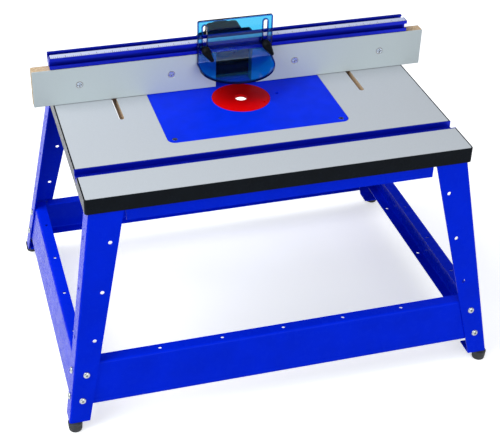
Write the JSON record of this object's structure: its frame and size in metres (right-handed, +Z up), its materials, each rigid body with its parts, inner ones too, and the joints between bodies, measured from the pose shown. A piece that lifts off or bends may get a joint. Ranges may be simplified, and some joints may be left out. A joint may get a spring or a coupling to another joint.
{
  "type": "router table",
  "caption": "Benchtop router table: laminated top on splayed steel legs, with insert plate, mitre track, sliding split fence, clear bit guard and dust port.",
  "frame": {"origin": "on the floor, under the centre of the table", "axes": "+Z up, +X to the user's right, +Y to the back; the user stands at -Y"},
  "size_m": [0.7176, 0.5246, 0.5175],
  "materials": {
    "laminate": "satin",
    "edge_black": "gloss",
    "blue_anodised": "satin",
    "blue_plate": "satin",
    "blue_paint": "satin",
    "ring_red": "satin",
    "facing": "satin",
    "guard_blue": "gloss",
    "black_plastic": "satin",
    "rubber": "matte",
    "zinc": "satin",
    "tape": "satin"
  },
  "bodies": {
    "stand": {"table_top": "laminate", "edge_band": "edge_black", "mitre_track": "blue_anodised", "insert_plate": "blue_plate", "top_rail_front": "blue_paint", "top_rail_rear": "blue_paint", "stretcher_front": "blue_paint", "stretcher_rear": "blue_paint", "stretcher_left": "blue_paint", "stretcher_right": "blue_paint", "leg_front_left": "blue_paint", "foot_front_left": "rubber", "stretcher_bolt_front_left_1": "zinc", "stretcher_bolt_front_left_2": "zinc", "stretcher_bolt_front_left_3": "zinc", "stretcher_bolt_front_left_4": "zinc", "leg_front_right": "blue_paint", "foot_front_right": "rubber", "stretcher_bolt_front_right_1": "zinc", "stretcher_bolt_front_right_2": "zinc", "stretcher_bolt_front_right_3": "zinc", "stretcher_bolt_front_right_4": "zinc", "leg_rear_left": "blue_paint", "foot_rear_left": "rubber", "stretcher_bolt_rear_left_1": "zinc", "stretcher_bolt_rear_left_2": "zinc", "stretcher_bolt_rear_left_3": "zinc", "stretcher_bolt_rear_left_4": "zinc", "leg_rear_right": "blue_paint", "foot_rear_right": "rubber", "stretcher_bolt_rear_right_1": "zinc", "stretcher_bolt_rear_right_2": "zinc", "stretcher_bolt_rear_right_3": "zinc", "stretcher_bolt_rear_right_4": "zinc"},
    "fence": {"fence_rail": "blue_anodised", "scale_tape": "tape", "dust_port": "black_plastic", "fence_clamp_bolt_left": "zinc", "fence_clamp_bolt_right": "zinc", "guard_bolt_left": "zinc", "guard_bolt_right": "zinc"},
    "reducer_ring": {"reducer_ring": "ring_red"},
    "guard": {"guard": "guard_blue"},
    "facing_left": {"facing_left": "facing", "facing_bolt_left_1": "zinc", "facing_bolt_left_2": "zinc"},
    "facing_knob_left_1": {"facing_knob_left_1": "black_plastic"},
    "facing_knob_left_2": {"facing_knob_left_2": "black_plastic"},
    "fence_knob_left": {"fence_knob_left": "black_plastic"},
    "guard_lever_left": {"guard_lever_left": "black_plastic"},
    "facing_right": {"facing_right": "facing", "facing_bolt_right_1": "zinc", "facing_bolt_right_2": "zinc"},
    "facing_knob_right_1": {"facing_knob_right_1": "black_plastic"},
    "facing_knob_right_2": {"facing_knob_right_2": "black_plastic"},
    "fence_knob_right": {"fence_knob_right": "black_plastic"},
    "guard_lever_right": {"guard_lever_right": "black_plastic"}
  },
  "joints": [
    {"name": "fence_slide", "type": "slide", "parent": "stand", "child": "fence", "axis": [0, 1, 0], "range_m": [-0.115, 0.025]},
    {"name": "guard_slide", "type": "slide", "parent": "fence", "child": "guard", "axis": [0, 0, 1], "range_m": [-0.034, 0]},
    {"name": "ring_twist", "type": "hinge", "parent": "stand", "child": "reducer_ring", "pos_m": [0, 0.042, 0.393], "axis": [0, 0, 1], "range_deg": [0, 30]},
    {"name": "facing_left_slide", "type": "slide", "parent": "fence", "child": "facing_left", "axis": [1, 0, 0], "range_m": [-0.022, 0.022]},
    {"name": "facing_knob_left_1_turn", "type": "hinge", "parent": "facing_left", "child": "facing_knob_left_1", "pos_m": [-0.107, 0.1106, 0.4257], "axis": [0, 1, 0], "continuous": true},
    {"name": "facing_knob_left_2_turn", "type": "hinge", "parent": "facing_left", "child": "facing_knob_left_2", "pos_m": [-0.26, 0.1106, 0.4257], "axis": [0, 1, 0], "continuous": true},
    {"name": "fence_knob_left_turn", "type": "hinge", "parent": "fence", "child": "fence_knob_left", "pos_m": [-0.205, 0.14, 0.3976], "axis": [0, 0, 1], "continuous": true},
    {"name": "guard_lever_left_turn", "type": "hinge", "parent": "fence", "child": "guard_lever_left", "pos_m": [-0.0515, 0.0821, 0.4677], "axis": [0, 1, 0], "continuous": true},
    {"name": "facing_right_slide", "type": "slide", "parent": "fence", "child": "facing_right", "axis": [1, 0, 0], "range_m": [-0.022, 0.022]},
    {"name": "facing_knob_right_1_turn", "type": "hinge", "parent": "facing_right", "child": "facing_knob_right_1", "pos_m": [0.107, 0.1106, 0.4257], "axis": [0, 1, 0], "continuous": true},
    {"name": "facing_knob_right_2_turn", "type": "hinge", "parent": "facing_right", "child": "facing_knob_right_2", "pos_m": [0.26, 0.1106, 0.4257], "axis": [0, 1, 0], "continuous": true},
    {"name": "fence_knob_right_turn", "type": "hinge", "parent": "fence", "child": "fence_knob_right", "pos_m": [0.205, 0.14, 0.3976], "axis": [0, 0, 1], "continuous": true},
    {"name": "guard_lever_right_turn", "type": "hinge", "parent": "fence", "child": "guard_lever_right", "pos_m": [0.0515, 0.0821, 0.4677], "axis": [0, 1, 0], "continuous": true}
  ]
}
